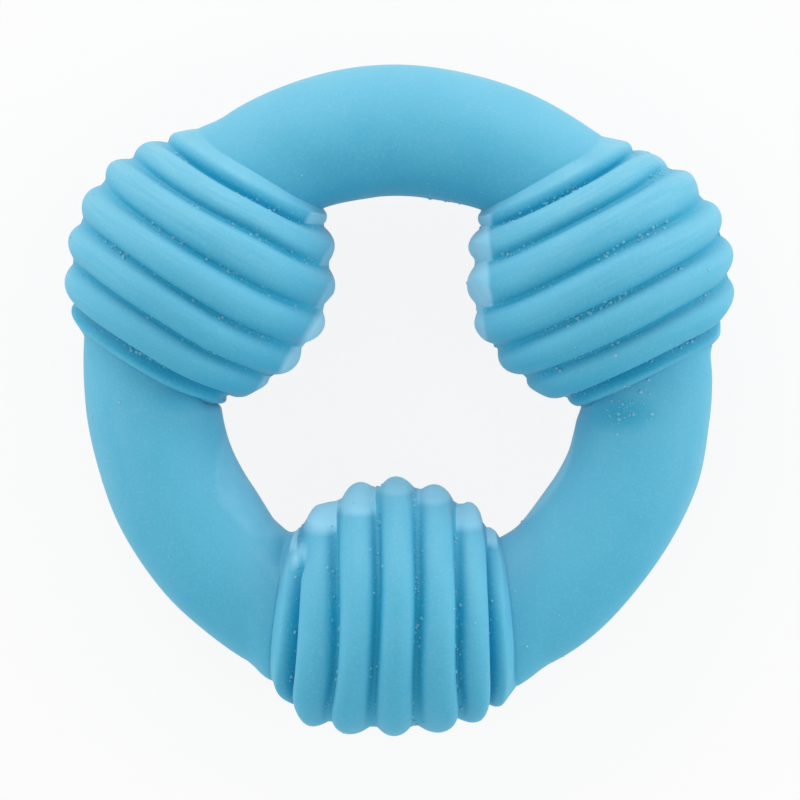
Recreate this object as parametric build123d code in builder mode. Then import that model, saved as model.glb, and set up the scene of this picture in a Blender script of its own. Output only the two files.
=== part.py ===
from build123d import *
import math
import os

# Latex ring chew toy: a hollow moulded ring with three ribbed barrels and a reed squeaker.
# The ring lies flat. Its axis is Z, its middle plane is Z = 0 and one barrel points to -Y.
# All sizes are in millimetres.

# Smooth ring tube
RING_RADIUS = 45.0  # centreline of the tube
TUBE_DIAMETER = 24.0
SKIN_WALL = 3.0  # latex between the cavity and the deepest groove

# Ribbed barrels
BARREL_COUNT = 3
FIRST_BARREL_ANGLE = 270.0  # degrees, from +X
BARREL_SET_IN = 4.0  # the straight barrel axis lies this far inside the tube's centreline
BARREL_DIAMETER = 48.0  # over the middle rib
BARREL_LENGTH = 44.8  # from collar end to collar end, inside the tube
CROWN_RADIUS = 28.0  # arc along the barrel on which the rib crests lie
RIB_COUNT = 5
RIB_PITCH = 7.9  # along the crown
GROOVE_DEPTH = 2.4  # below the crown, before the groove is rounded
GROOVE_FILLET = 0.6
COLLAR_PITCH = 2.0  # along the crown, from the last groove to the collar's edge
COLLAR_DROP = 0.6  # of the collar's edge below the crown
COLLAR_FILLET = 0.6
COLLAR_SINK = 1.2  # depth of the collar's end under the tube's surface
REST_FLAT = 0.4  # depth of the flats that the soft barrels rest on

# Squeaker port, on the rear of the tube opposite the first barrel
BOSS_PROUD = 0.4  # of the round boss over the tube's rear
BOSS_RIM = 2.0  # latex round the flange
LIP_THICKNESS = 2.6  # latex held between the flange and the barb

# Squeaker bush
NECK_DIAMETER = 8.0
FLANGE_STEP = 1.5
FLANGE_THICKNESS = 1.2
BARB_STEP = 1.0
BARB_LENGTH = 1.6
SLEEVE_LENGTH = 3.4  # past the barb
SLEEVE_WALL = 1.1
MOUTH_DIAMETER = 3.0
MOUTH_WEB = 1.0  # plastic left round the mouth at the end of the bore
EDGE_ROUND = 0.3

# Reed set, pressed into the bush
REED_BORE = 4.8
TROUGH_LENGTH = 13.0
CHANNEL_WIDTH = 2.4
CHANNEL_DEPTH = 1.4
CHANNEL_NOSE = 1.6  # closed end of the sounding channel
REED_LENGTH = 11.4
REED_WIDTH = 3.4
REED_THICKNESS = 0.2
REED_TIP_ROUND = 0.9
REED_SWING = 5.0  # degrees that the tongue lifts from the trough
WEDGE_LENGTH = 5.0

# Clearances
SEAT_GAP = 0.05  # round pieces that are pressed or snapped in
REED_GAP = 0.05  # between the tongue and what it lies on
REED_END_GAP = 0.3  # behind the tongue's root
CUT_OVERRUN = 2.0

# Worked out from the sizes above
TUBE_RADIUS = TUBE_DIAMETER / 2
BORE_RADIUS = TUBE_RADIUS - SKIN_WALL
BARREL_RADIUS = BARREL_DIAMETER / 2
BARREL_AXIS_RADIUS = RING_RADIUS - BARREL_SET_IN
HALF_BARREL = BARREL_LENGTH / 2
HALF_CAVITY = HALF_BARREL - SKIN_WALL
CROWN_CENTRE = BARREL_RADIUS - CROWN_RADIUS
RIB_ANGLE = math.degrees(RIB_PITCH / CROWN_RADIUS)
LAST_GROOVE_ANGLE = RIB_COUNT * RIB_ANGLE / 2
COLLAR_ANGLE = LAST_GROOVE_ANGLE + math.degrees(COLLAR_PITCH / CROWN_RADIUS)
COLLAR_END_RADIUS = TUBE_RADIUS - COLLAR_SINK
CAVITY_DEPTH = GROOVE_DEPTH + SKIN_WALL
REST_HEIGHT = BARREL_RADIUS - REST_FLAT

NECK_RADIUS = NECK_DIAMETER / 2
FLANGE_RADIUS = NECK_RADIUS + FLANGE_STEP
BARB_RADIUS = NECK_RADIUS + BARB_STEP
SLEEVE_RADIUS = REED_BORE / 2 + SLEEVE_WALL
BOSS_FACE = -(TUBE_RADIUS + BOSS_PROUD)
FLANGE_SEAT = BOSS_FACE + FLANGE_THICKNESS
LIP_FACE = FLANGE_SEAT + LIP_THICKNESS
BARB_TOP = LIP_FACE + BARB_LENGTH
SLEEVE_TOP = BARB_TOP + SLEEVE_LENGTH
BORE_FLOOR = BOSS_FACE + MOUTH_WEB
REED_SET_RADIUS = REED_BORE / 2 - SEAT_GAP
REED_SET_FOOT = BORE_FLOOR + SEAT_GAP
REED_ROOT = REED_SET_FOOT + REED_END_GAP
WEDGE_UNDERSIDE = REED_GAP + REED_THICKNESS + REED_GAP

PORT_ANGLE = FIRST_BARREL_ANGLE + 180.0
RADIAL = Vector(1, 0, 0).rotate(Axis.Z, PORT_ANGLE)
TANGENT = Vector(0, 1, 0).rotate(Axis.Z, PORT_ANGLE)
PORT_AXIS = Axis(RADIAL * RING_RADIUS, (0, 0, 1))
PORT_SECTION = Plane(origin=PORT_AXIS.position, x_dir=RADIAL, z_dir=-TANGENT)  # upright, local y is Z


def crown_point(angle, depth):
    """A point of the barrel's outline, at an angle along the crown and a depth under it."""
    radius = CROWN_RADIUS - depth
    across = CROWN_CENTRE + radius * math.cos(math.radians(angle))
    along = radius * math.sin(math.radians(angle))
    return (across, along)


def on_crown(depth):
    """A test for the outline's corners that lie at one depth under the crown."""
    centre = Vector(CROWN_CENTRE, 0)
    return lambda corner: math.isclose((Vector(corner) - centre).length, CROWN_RADIUS - depth, rel_tol=1e-6)


def port_plane(height):
    """A level plane on the squeaker's axis, with local x outwards along the ring's radius."""
    return Plane(origin=RADIAL * RING_RADIUS + Vector(0, 0, height), x_dir=RADIAL, z_dir=(0, 0, 1))


def barrel_places():
    """The places of the barrels round the ring, each with its axis along the ring's tangent."""
    return PolarLocations(BARREL_AXIS_RADIUS, BARREL_COUNT, start_angle=FIRST_BARREL_ANGLE)


# Outer form of one barrel, turned about its own axis: ribs as arcs from groove to groove, then the collars
with BuildPart() as barrel_form:
    with BuildSketch(Plane.XY) as barrel_outline:
        with BuildLine():
            for rib in range(RIB_COUNT):
                middle = (rib - (RIB_COUNT - 1) / 2) * RIB_ANGLE
                ThreePointArc(
                    crown_point(middle - RIB_ANGLE / 2, GROOVE_DEPTH),
                    crown_point(middle, 0),
                    crown_point(middle + RIB_ANGLE / 2, GROOVE_DEPTH),
                )
            for side in (-1, 1):
                Polyline(
                    crown_point(side * LAST_GROOVE_ANGLE, GROOVE_DEPTH),
                    crown_point(side * COLLAR_ANGLE, COLLAR_DROP),
                    (COLLAR_END_RADIUS, side * HALF_BARREL),
                    (0, side * HALF_BARREL),
                )
            Line((0, -HALF_BARREL), (0, HALF_BARREL))
        make_face()
        fillet(barrel_outline.vertices().filter_by(on_crown(GROOVE_DEPTH)), GROOVE_FILLET)
        fillet(barrel_outline.vertices().filter_by(on_crown(COLLAR_DROP)), COLLAR_FILLET)
    revolve(axis=Axis.Y)

# Hollow inside one barrel, smooth and one wall under the grooves
with BuildPart() as barrel_cavity:
    with BuildSketch(Plane.XY):
        with BuildLine():
            ThreePointArc(
                crown_point(-COLLAR_ANGLE, CAVITY_DEPTH),
                crown_point(0, CAVITY_DEPTH),
                crown_point(COLLAR_ANGLE, CAVITY_DEPTH),
            )
            for side in (-1, 1):
                Polyline(
                    crown_point(side * COLLAR_ANGLE, CAVITY_DEPTH),
                    (BORE_RADIUS, side * HALF_CAVITY),
                    (0, side * HALF_CAVITY),
                )
            Line((0, -HALF_CAVITY), (0, HALF_CAVITY))
        make_face()
    revolve(axis=Axis.Y)

# Latex skin: tube and barrels in one hollow moulding, with the squeaker port and three resting flats
with BuildPart() as latex_skin:
    with BuildSketch(Plane.XZ):
        with Locations((RING_RADIUS, 0)):
            Circle(TUBE_RADIUS)
    revolve(axis=Axis.Z)
    with barrel_places():
        add(barrel_form.part)
    with BuildSketch(Plane.XZ):
        with Locations((RING_RADIUS, 0)):
            Circle(BORE_RADIUS)
    revolve(axis=Axis.Z, mode=Mode.SUBTRACT)
    with barrel_places():
        add(barrel_cavity.part, mode=Mode.SUBTRACT)
    with BuildSketch(port_plane(BOSS_FACE)):
        Circle(FLANGE_RADIUS + BOSS_RIM)
    extrude(amount=LIP_FACE - BOSS_FACE)
    with BuildSketch(port_plane(LIP_FACE)):
        Circle(BARB_RADIUS + SEAT_GAP)
    extrude(amount=BARB_TOP - LIP_FACE, mode=Mode.SUBTRACT)
    with Locations(Plane(origin=port_plane(BOSS_FACE).origin, x_dir=RADIAL, z_dir=(0, 0, -1))):
        CounterBoreHole(
            NECK_RADIUS + SEAT_GAP, FLANGE_RADIUS + SEAT_GAP, FLANGE_THICKNESS, BARB_TOP - BOSS_FACE
        )
    split(bisect_by=Plane.XY.offset(-REST_HEIGHT), keep=Keep.TOP)
latex_skin.part.label = "latex_skin"

# Squeaker bush: flange outside, neck in the latex lip, tapered barb and sleeve inside
with BuildPart() as squeaker_body:
    with BuildSketch(PORT_SECTION):
        with BuildLine():
            Polyline(
                (0, BOSS_FACE),
                (FLANGE_RADIUS, BOSS_FACE),
                (FLANGE_RADIUS, FLANGE_SEAT),
                (NECK_RADIUS, FLANGE_SEAT),
                (NECK_RADIUS, LIP_FACE),
                (BARB_RADIUS, LIP_FACE),
                (SLEEVE_RADIUS, BARB_TOP),
                (SLEEVE_RADIUS, SLEEVE_TOP),
                (0, SLEEVE_TOP),
                close=True,
            )
        make_face()
    revolve(axis=PORT_AXIS)
    with Locations(port_plane(SLEEVE_TOP)):
        Hole(REED_BORE / 2, depth=SLEEVE_TOP - BORE_FLOOR)
        Hole(MOUTH_DIAMETER / 2)
    mouth_edges = squeaker_body.faces().sort_by(Axis.Z)[0].edges()
    fillet(mouth_edges, EDGE_ROUND)
squeaker_body.part.label = "squeaker_body"

# Reed trough: half-round, with a sounding channel that is open at the mouth and closed at the nose
with BuildPart() as reed_trough:
    with BuildSketch(port_plane(REED_SET_FOOT)):
        with BuildLine():
            CenterArc((0, 0), REED_SET_RADIUS, 90, 180)
            Line((0, -REED_SET_RADIUS), (0, REED_SET_RADIUS))
        make_face()
    extrude(amount=TROUGH_LENGTH)
    with BuildSketch(port_plane(REED_SET_FOOT - CUT_OVERRUN)):
        Rectangle(CHANNEL_DEPTH, CHANNEL_WIDTH, align=(Align.MAX, Align.CENTER))
    extrude(amount=CUT_OVERRUN + TROUGH_LENGTH - CHANNEL_NOSE, mode=Mode.SUBTRACT)
    nose_edges = reed_trough.faces().sort_by(Axis.Z)[-1].edges().filter_by(GeomType.CIRCLE)
    fillet(nose_edges, EDGE_ROUND)
reed_trough.part.label = "reed_trough"

# Reed: a thin tongue on the trough's flat, with a rounded tip
with BuildPart() as reed:
    with BuildSketch(port_plane(REED_ROOT)):
        with Locations((REED_GAP, 0)):
            Rectangle(REED_THICKNESS, REED_WIDTH, align=(Align.MIN, Align.CENTER))
    extrude(amount=REED_LENGTH)
    tip_corners = reed.edges().filter_by(Axis(reed.part.center(), RADIAL)).group_by(Axis.Z)[-1]
    fillet(tip_corners, REED_TIP_ROUND)
reed.part.label = "reed"

# Reed wedge: half-round, its underside rising away from the tongue so that the tongue can lift
with BuildPart() as reed_wedge:
    with BuildSketch(port_plane(REED_SET_FOOT)):
        with BuildLine():
            CenterArc((0, 0), REED_SET_RADIUS, -90, 180)
            Line((0, REED_SET_RADIUS), (0, -REED_SET_RADIUS))
        make_face()
    extrude(amount=WEDGE_LENGTH)
    underside = Plane(
        origin=port_plane(REED_ROOT).origin + RADIAL * WEDGE_UNDERSIDE,
        x_dir=TANGENT,
        z_dir=RADIAL.rotate(Axis(PORT_AXIS.position, TANGENT), REED_SWING),
    )
    split(bisect_by=underside, keep=Keep.TOP)
reed_wedge.part.label = "reed_wedge"

os.makedirs("parts", exist_ok=True)
for piece in (latex_skin, squeaker_body, reed_trough, reed, reed_wedge):
    export_step(piece.part, f"parts/{piece.part.label}.step")
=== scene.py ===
import math
from functools import partial

import bmesh
import bpy
import numpy as np
from bpy.props import FloatProperty, FloatVectorProperty, IntProperty, PointerProperty
from mathutils import Matrix, Vector


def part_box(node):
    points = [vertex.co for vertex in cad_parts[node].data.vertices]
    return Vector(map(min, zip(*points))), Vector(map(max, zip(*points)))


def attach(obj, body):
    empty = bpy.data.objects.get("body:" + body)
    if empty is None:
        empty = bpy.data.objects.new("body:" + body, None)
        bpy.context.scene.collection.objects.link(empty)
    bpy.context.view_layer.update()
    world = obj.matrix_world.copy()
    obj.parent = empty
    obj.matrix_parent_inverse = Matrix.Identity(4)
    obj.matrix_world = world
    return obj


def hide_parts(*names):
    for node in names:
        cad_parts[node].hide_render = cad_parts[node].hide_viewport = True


bl_info = {
    "name": "Latex chew ring",
    "version": (1, 0, 0),
    "blender": (4, 5, 0),
    "location": "3D View > Sidebar > Chew ring",
    "description": "Builds a cast latex chew ring with three ribbed barrels round its squeaker",
    "category": "Object",
}

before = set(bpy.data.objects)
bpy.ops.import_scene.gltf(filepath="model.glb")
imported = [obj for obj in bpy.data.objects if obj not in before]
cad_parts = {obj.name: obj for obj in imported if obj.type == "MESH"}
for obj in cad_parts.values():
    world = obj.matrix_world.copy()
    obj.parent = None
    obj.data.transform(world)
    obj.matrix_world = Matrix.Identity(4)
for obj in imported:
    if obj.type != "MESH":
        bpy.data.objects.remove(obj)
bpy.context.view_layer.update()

MM = 0.001
TAU = 2 * math.pi
SKIN_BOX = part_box("latex_skin")
BUSH_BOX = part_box("squeaker_body")


def linear(code):
    """An sRGB hex colour as linear red, green and blue."""
    parts = [int(code[i:i + 2], 16) / 255 for i in (1, 3, 5)]
    return tuple(c / 12.92 if c <= 0.04045 else ((c + 0.055) / 1.055) ** 2.4 for c in parts)


def length(name, description, millimetres):
    """A size that a user may change, shown in the scene's own unit."""
    return FloatProperty(
        name=name, description=description, default=millimetres * MM,
        subtype="DISTANCE", unit="LENGTH", precision=5,
    )


def colour(name, description, code):
    """A colour that a user may change, written as sRGB hex."""
    return FloatVectorProperty(
        name=name, description=description, default=linear(code), subtype="COLOR", size=3
    )


class ChewRingForm(bpy.types.PropertyGroup):
    """Sizes of the cast latex skin."""

    ring_radius: length("Ring radius", "Centreline of the smooth tube", 45)
    tube_radius: length("Tube radius", "Outside of the smooth tube", 12)
    wall: length("Wall", "Latex between the cavity and the deepest groove", 3)
    set_in: length("Barrel set-in", "How far the straight barrel axis lies inside the tube's centreline", 4)
    barrel_radius: length("Barrel radius", "Over the middle rib", 24)
    barrel_length: length("Barrel length", "From collar end to collar end, at the parting plane", 44)
    crown_radius: length("Crown radius", "Arc along the barrel on which the rib crests lie", 28)
    rib_pitch: length("Rib pitch", "From crest to crest along the crown", 7.9)
    rib_count: IntProperty(name="Ribs", description="Ribs on each barrel", default=5, min=1)
    rib_fullness: FloatProperty(
        name="Rib fullness", description="2 is a half ellipse, more is fuller", default=2.15
    )
    groove_width: length("Groove width", "Between the feet of two ribs, on the front and the rear", 0.9)
    groove_depth: length("Groove depth", "Where the rib flanks would meet, under the crown", 2.7)
    groove_floor: length("Groove floor", "Depth of the flat floor that closes the groove", 2.15)
    groove_shallow: length("Groove floor, sides", "Depth of that floor at the parting plane", 1.75)
    groove_round: length("Groove rounding", "How softly the floor runs into the flanks", 0.4)
    collar_groove: length("Collar groove", "How much deeper the groove beside a collar is", 0.6)
    collar_pitch: length("Collar pitch", "From the last groove to the collar's edge, along the crown", 2)
    collar_drop: length("Collar drop", "Collar's edge under the crown", 0.6)
    collar_short: length("Collar shortening", "How much nearer the collar's end lies, front and rear", 0.9)
    crease_depth: length("Crease depth", "Fine line where a collar meets the tube", 0.14)
    collar_sink: length("Collar sink", "Depth of the collar's end under the tube's surface", 1.2)


class ChewRingPimples(bpy.types.PropertyGroup):
    """Sizes of the pimples that air holes in the plaster mould leave on the latex."""

    radius: length("Pimple radius", "Largest pimple", 0.4)
    density: FloatProperty(
        name="Pimples per square metre", description="Where they are thickest", default=1e6
    )
    seed: IntProperty(name="Seed", description="Changes where the pimples fall", default=7)


class ChewRingColours(bpy.types.PropertyGroup):
    """Colours of the finishes."""

    latex: colour("Latex", "Dyed latex, evenly lit", "#5BB7D6")
    latex_deep: colour("Latex, deep", "Thicker film in the hollows of the casting", "#46ADD0")
    # Deeper dye in the groove bottoms, also used as painted shade: in the grooves, on what faces -Y and
    # beside the collars
    latex_groove_and_shade: colour("Latex, groove", "Thick film in the groove bottoms", "#08A0C6")
    # Pale bloom of dust, also used as painted light: on what faces +Y, on the crests, beside the collars and
    # on the pimples
    latex_bloom_and_light: colour("Latex bloom", "Pale dust of wax and talc on the skin", "#A4D6E6")
    latex_trimmed: colour("Latex, trimmed", "Ground-off seam, bare and paler", "#AEE9FF")
    bush: colour("Squeaker", "Natural polyethylene", "#ECEAE0")
    holder: colour("Reed holder", "Natural polystyrene", "#E0DFD6")
    film: colour("Reed film", "Polyester film", "#E6E0C8")
    floor: colour("Floor", "Studio paper", "#F4F4F2")


# Barrels of this casting, as they came out of the mould, in mm and degrees
# angle: place round the ring
# girth: size across, against the pattern's
# turn: about the ring's axis
# deepened, shallowed: how much deeper the grooves are, front and rear, and shallower at the parting plane
# slide, bend: along the tube, and of the ends outward
# spread, lean: of the rib planes, and of the front along the tube
# closed: how far each end closes up, beside the hole and at the outside
# stray: how far each groove strays along the tube, in a row for each of STRAY_LEVELS
# stray_outermost: the same for the outermost line at the parting plane
# ground: the facet on each collar and rib, as its width and how bare it is
# edge, wheel: how sharply the facets end, and how far the line that they end on turns
# pimpled: how thick the pimples stand in the grooves
# open_end: the end whose groove beside the collar gets painted shade up the collar's flank, how much wider
# that groove and shorter that collar is
BARRELS = (
    {
        "angle": 270.0, "deepened": 0.3, "shallowed": 0.0, "girth": 0.968, "turn": -0.6, "slide": -0.25,
        "bend": 1.3, "spread": 0.08, "lean": 0.8, "closed": ((-0.6, 0.0), (0.3, 1.1)),
        "stray": (
            (-0.3, -0.9, -1.1, -0.4, 0.1, 0.0),
            (-0.9, -0.7, 0.0, 0.2, 0.6, 0.3),
            (-1.4, 0.0, -0.2, -0.3, 0.3, 0.4),
            (-1.8, -1.9, -0.4, 0.2, 2.0, 0.6),
        ),
        "stray_outermost": (1.1, 0.6, 0.4, -0.6, -0.8, -0.4),
        "ground": ((3.4, 0.26), (4.4, 0.36), (4.2, 0.14), (2.0, 0.04), (2.2, 0.08), (3.6, 0.16), (2.5, 0.2)),
        "edge": 0.22, "wheel": 0.0, "pimpled": 0.5, "open_end": (0, 0.0, 0.0),
    },
    {
        "angle": 30.0, "deepened": 0.0, "shallowed": 0.14, "girth": 1.013, "turn": -2.5, "slide": -0.6,
        "bend": 0.0, "spread": 0.0, "lean": -0.5, "closed": ((0.0, 0.0), (1.4, 1.5)),
        "stray": (
            (0.2, 0.2, 0.2, 0.5, 0.2, 0.0),
            (0.2, -0.1, -0.2, -0.1, 0.8, 0.0),
            (-0.4, -0.5, -0.5, -0.1, 1.0, 0.8),
            (-1.3, -0.9, -1.0, -1.4, 1.2, 1.0),
        ),
        "stray_outermost": (0.4, 0.2, 0.0, -0.6, 0.0, 0.5),
        "ground": ((0, 0), (0, 0), (0, 0), (2.0, 0.1), (4.4, 0.18), (4.2, 0.18), (2.6, 0.12)),
        "edge": 0.5, "wheel": -26.0, "pimpled": 2.0, "open_end": (-1, 0.3, 1.0),
    },
    {
        "angle": 150.0, "deepened": 0.0, "shallowed": 0.2, "girth": 1.025, "turn": 0.0, "slide": -0.35,
        "bend": 0.0, "spread": 0.0, "lean": 0.4, "closed": ((1.8, 1.1), (0.0, 0.0)),
        "stray": (
            (-0.9, -0.5, -0.6, -0.5, 0.1, 0.0),
            (-0.6, -1.1, 0.2, 0.3, 0.0, 0.4),
            (-0.6, -0.7, 0.0, -0.2, -0.3, 0.2),
            (-0.5, -0.7, -0.1, 0.0, -0.1, 0.3),
        ),
        "stray_outermost": (0.0, 0.3, -0.3, 0.3, 0.0, 0.0),
        "ground": ((3.0, 0.16), (1.4, 0.06), (1.4, 0.06), (2.4, 0.34), (2.2, 0.2), (1.2, 0.08), (0, 0)),
        "edge": 0.3, "wheel": 0.0, "pimpled": 1.4, "open_end": (1, 0.5, 0.7),
    },
)
# Distances out from the barrel's axis in mm, from the hole side to the outside
STRAY_LEVELS = (-23.0, -10.0, 8.0, 20.0)
# Places where the casting swelled or shrank: angle and half width round the ring, and the outward move in mm
# of its hole side and of its outer side
SWELLS = (
    (5.0, 12.0, 0.0, -0.5),
    (11.5, 4.0, 0.0, -0.7),
    (36.0, 4.0, 0.0, -0.5),
    (44.5, 8.0, 0.0, -1.5),
    (52.0, 14.0, 0.8, 0.0),
    (65.0, 17.0, 1.5, 0.0),
    (70.0, 14.0, 0.0, -0.4),
    (115.0, 17.0, 1.6, 0.0),
    (90.0, 24.0, 0.4, -0.2),
    (128.5, 5.0, 0.0, 1.1),
    (131.0, 12.0, 0.6, -0.3),
    (172.0, 12.0, 0.0, 0.4),
    (185.0, 4.0, 1.5, 0.0),
    (222.0, 24.0, 0.0, 0.6),
    (231.0, 5.0, -0.9, 0.0),
    (237.0, 6.0, 1.2, 0.0),
    (244.0, 26.0, 0.0, 1.0),
    (250.0, 5.0, 0.0, -0.9),
    (256.0, 6.0, 0.0, 0.5),
    (259.0, 16.0, 0.0, 0.8),
    (275.0, 24.0, 0.0, 0.4),
    (298.0, 24.0, 0.0, 1.1),
    (306.0, 8.0, -0.8, 0.0),
    (312.0, 28.0, 0.0, 0.6),
    (352.0, 12.0, 0.5, -0.5),
    (354.0, 7.0, 0.6, 0.0),
)
# Narrower swells than this, in degrees, lie along the parting plane only
NARROW_SWELL = 10.0
# Buffed seam beside the hole on each smooth arc: angle and half reach round the ring, width in mm, how
# sharply it ends and how bare it is
BUFFED = ((90.0, 34.0, 1.3, 0.1, -0.06), (218.0, 20.0, 5.4, 0.06, -0.035), (324.0, 22.0, 1.5, 0.2, 0.04))
# Spots where the skin stands proud: place and reach along each axis in mm, and how far towards the hole in mm
PROUD = (
    ((-14.6, -22.6, 0.0), (2.4, 2.4, 8.0), 0.9),
    ((24.1, -1.2, 0.0), (1.8, 1.8, 7.0), 0.8),
    ((57.3, 7.8, 0.0), (2.0, 2.0, 7.0), -1.6),
)
# Smears of latex that fill a groove and a crease at one collar's end: place and reach along each axis in
# mm, and how pale the smear dried
SMEARS = (((-17.6, -30.7, 10.0), (2.0, 2.2, 3.5), 0.4), ((-19.2, -28.8, 0.0), (2.4, 2.4, 6.0), 0.0))
SMEAR_PASSES = 100
# Painted shade and painted light beside the collars: place and reach along each axis in mm, how much
# painted shade, in the groove's colour, and how much painted light, in the bloom's colour
PAINTED_SHADE_AND_LIGHT = (
    ((39.5, -4.6, 10.0), (8.0, 4.0, 9.0), 0.85, 0.0),
    ((-38.0, -2.0, 9.0), (9.0, 3.8, 9.0), 0.68, 0.0),
    ((-53.0, -16.0, 3.0), (6.0, 16.0, 12.0), 0.0, 1.2),
    ((53.0, -16.0, 3.0), (6.0, 16.0, 12.0), 0.0, 0.9),
    ((-22.9, -33.1, 11.5), (4.5, 6.0, 8.0), 0.0, 1.0),
    ((21.3, -29.7, 9.1), (4.0, 5.5, 8.0), 0.0, 0.9),
)
# Clusters of pimples on the front of the smooth tubes: place and spread in mm, and how thick they stand
CLUSTERS = ((41.6, -4.4, 3.5, 1.2), (8.5, 31.0, 3.5, 0.5), (-50.0, -12.0, 9.0, 0.05))
# Slow waves of the pattern: lengths in mm, height against length, and the seed of their directions
WAVE_LENGTHS, WAVE_RISE, WOBBLE_SEED = (44, 31, 23, 17, 13), 0.1 / 31, 11

# Fades of the casting's differences, from start to end
# BARREL_FADE, END_FADE: along a barrel, of all its moves, and of the closing of its ends
# FRONT_FADE: from rear to front, of its girth
# PORT_FADE, PORT_FRONT_FADE: away from the port, and from its side to the front
# NARROW_FADE, OUTERMOST_FADE: away from the parting plane, of narrow swells and of outermost lines
# OUTERMOST_RISE: out from the barrel's axis, of outermost lines
BARREL_FADE, END_FADE, FRONT_FADE = (19 * MM, 27 * MM), (6 * MM, 17 * MM), (-9 * MM, 9 * MM)
PORT_FADE, PORT_FRONT_FADE = (8 * MM, 15 * MM), (-2 * MM, 6 * MM)
NARROW_FADE, OUTERMOST_FADE, OUTERMOST_RISE = (3 * MM, 11 * MM), (0, 14 * MM), (0, 18 * MM)
# BEND_AT: where along a barrel its bend is measured
# BARREL_SIDE: how far a barrel's side of the ring reaches past its axis, against the ring's radius
BEND_AT, BARREL_SIDE = 15 * MM, 0.75

# SEAM_BARE, SEAM_FALL: how bare the seam's thin line is, and how fast that falls off in each mm
# SEAM_BAND: half height of the band beside the parting plane
# BUFFED_TAPER, BUFFED_END: degrees before and past a buffed seam's half reach, over which it ends
# GROUND_SHARE: how much of what stands over a facet the wheel took off
SEAM_BARE, SEAM_FALL, SEAM_BAND = -0.03, 0.15, 2 * MM
BUFFED_TAPER, BUFFED_END, GROUND_SHARE = 15, 5, 0.6
# STRAY_PIMPLES, PIMPLED_FLOOR: how thick pimples stand all over, and the groove depths on which they gather
# REST_CLEAR, REST_FULL: heights over the rest flats where they begin, and where they stand as thick as said
STRAY_PIMPLES, PIMPLED_FLOOR = 0.004, (0.8, 1.0)
REST_CLEAR, REST_FULL = 0.6 * MM, 1.6 * MM
# Sizes of the finishes' grain, and heights of what stands in relief
MOTTLE_SIZE, GRAIN_SIZE, PEEL_SIZE, PLASTIC_PEEL_SIZE = 11 * MM, 0.5 * MM, 3.2 * MM, 0.35 * MM
GRAIN_HEIGHT, PEEL_HEIGHT, PLASTIC_PEEL_HEIGHT = 0.02 * MM, 0.05 * MM, 0.006 * MM

# Squeaker port, as the solids have it
PORT_ANGLE = math.radians(90)
SEAT_GAP, BOSS_RIM, FLANGE_STEP, BARB_STEP = 0.05 * MM, 2.0 * MM, 1.5 * MM, 1.0 * MM
FLANGE_THICKNESS, LIP_THICKNESS = 1.2 * MM, 2.6 * MM

# Grid of the skin and of its cavity: steps round the tube and along an arc, and half sizes of the hole for
# the port in steps along and round the tube
ROUND_STEPS, ARC_STEPS, PORT_HOLE = 144, 25, (9, 21)
CAVITY_ROUND_STEPS, CAVITY_ARC_STEPS, CAVITY_HOLE, CAVITY_CROWN_STEPS = 60, 14, (5, 8), 12
SECTOR = math.radians(60)
HALF_RIB_STEPS, RIB_CROWDING = 9, 1.5
COLLAR_STEPS, COLLAR_CROWDING = 6, 1.3
SLOPE_SHARES = (0.1, 0.25, 0.43, 0.6, 0.75, 0.87, 0.95, 1.0)
CREASE_SHARES, ARC_START = (0.008, 0.022, 0.045), 0.08
BISECTIONS = 40
# Rows of half a sector that get more work, counted from the first row of the collar's slope
EASED_ROWS, FILLET_ROWS, FLANK_ROWS = (-3, 2), (3, 11), (-7, -2)
# How much painted shade, in the groove's colour, lies on each flank row beside an open collar
FLANK_PAINTED_SHADE = (1.0, 1.0, 1.0, 0.9, 0.7)
CREASE_ROW = len(SLOPE_SHARES) - 1

# Stage: white share of the floor as the camera sees it, lamps with place, size and power, and the camera
FLOOR_RADIUS, FLOOR_LIFT = 4.0, 0.86
LAMPS = (("key softbox", (-0.15, 0.8, 0.55), 0.5, 1.45), ("side softbox", (0.7, 0.15, 0.25), 0.5, 0.6))
CAMERA_TARGET, CAMERA_DISTANCE, VIEW_WIDTH = Vector((0.2, -3.6, 0)) * MM, 0.75, 144.6 * MM
CAMERA_LEAN_X, CAMERA_LEAN_Y = math.radians(2.0), math.radians(6.0)

# Kinds of node that come often
MATH, RANGE, MIX, NOISE = "ShaderNodeMath", "ShaderNodeMapRange", "ShaderNodeMix", "ShaderNodeTexNoise"
BUMP, NAMED = "ShaderNodeBump", "GeometryNodeInputNamedAttribute"


def node(tree, kind, values=None, out=0, **settings):
    """Adds a node, sets or links its inputs by name or number, and gives one output or all of them."""
    made = tree.nodes.new(kind)
    for name, setting in settings.items():
        setattr(made, name, setting)
    for key, value in (values or {}).items():
        if isinstance(value, bpy.types.NodeSocket):
            tree.links.new(value, made.inputs[key])
        else:
            made.inputs[key].default_value = value
    return made.outputs if out is None else made.outputs[out]


def shader_nodes(owner):
    """Empties the node tree of a material or a world, and gives what adds nodes to it."""
    owner.use_nodes = True
    owner.node_tree.nodes.clear()
    return partial(node, owner.node_tree)


def geometry_tree(name, sizes):
    """A new geometry tree with named inputs, what adds nodes to it, and its inputs' sockets."""
    tree = bpy.data.node_groups.new(name, "GeometryNodeTree")
    for label, kind in (("Geometry", "Geometry"), *sizes, ("Material", "Material")):
        tree.interface.new_socket(label, in_out="INPUT", socket_type="NodeSocket" + kind)
    tree.interface.new_socket("Geometry", in_out="OUTPUT", socket_type="NodeSocketGeometry")
    add = partial(node, tree)
    return tree, add, add("NodeGroupInput", out=None)


def show(context, name, data):
    """A new object in the scene."""
    made = bpy.data.objects.new(name, data)
    context.scene.collection.objects.link(made)
    return made


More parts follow.
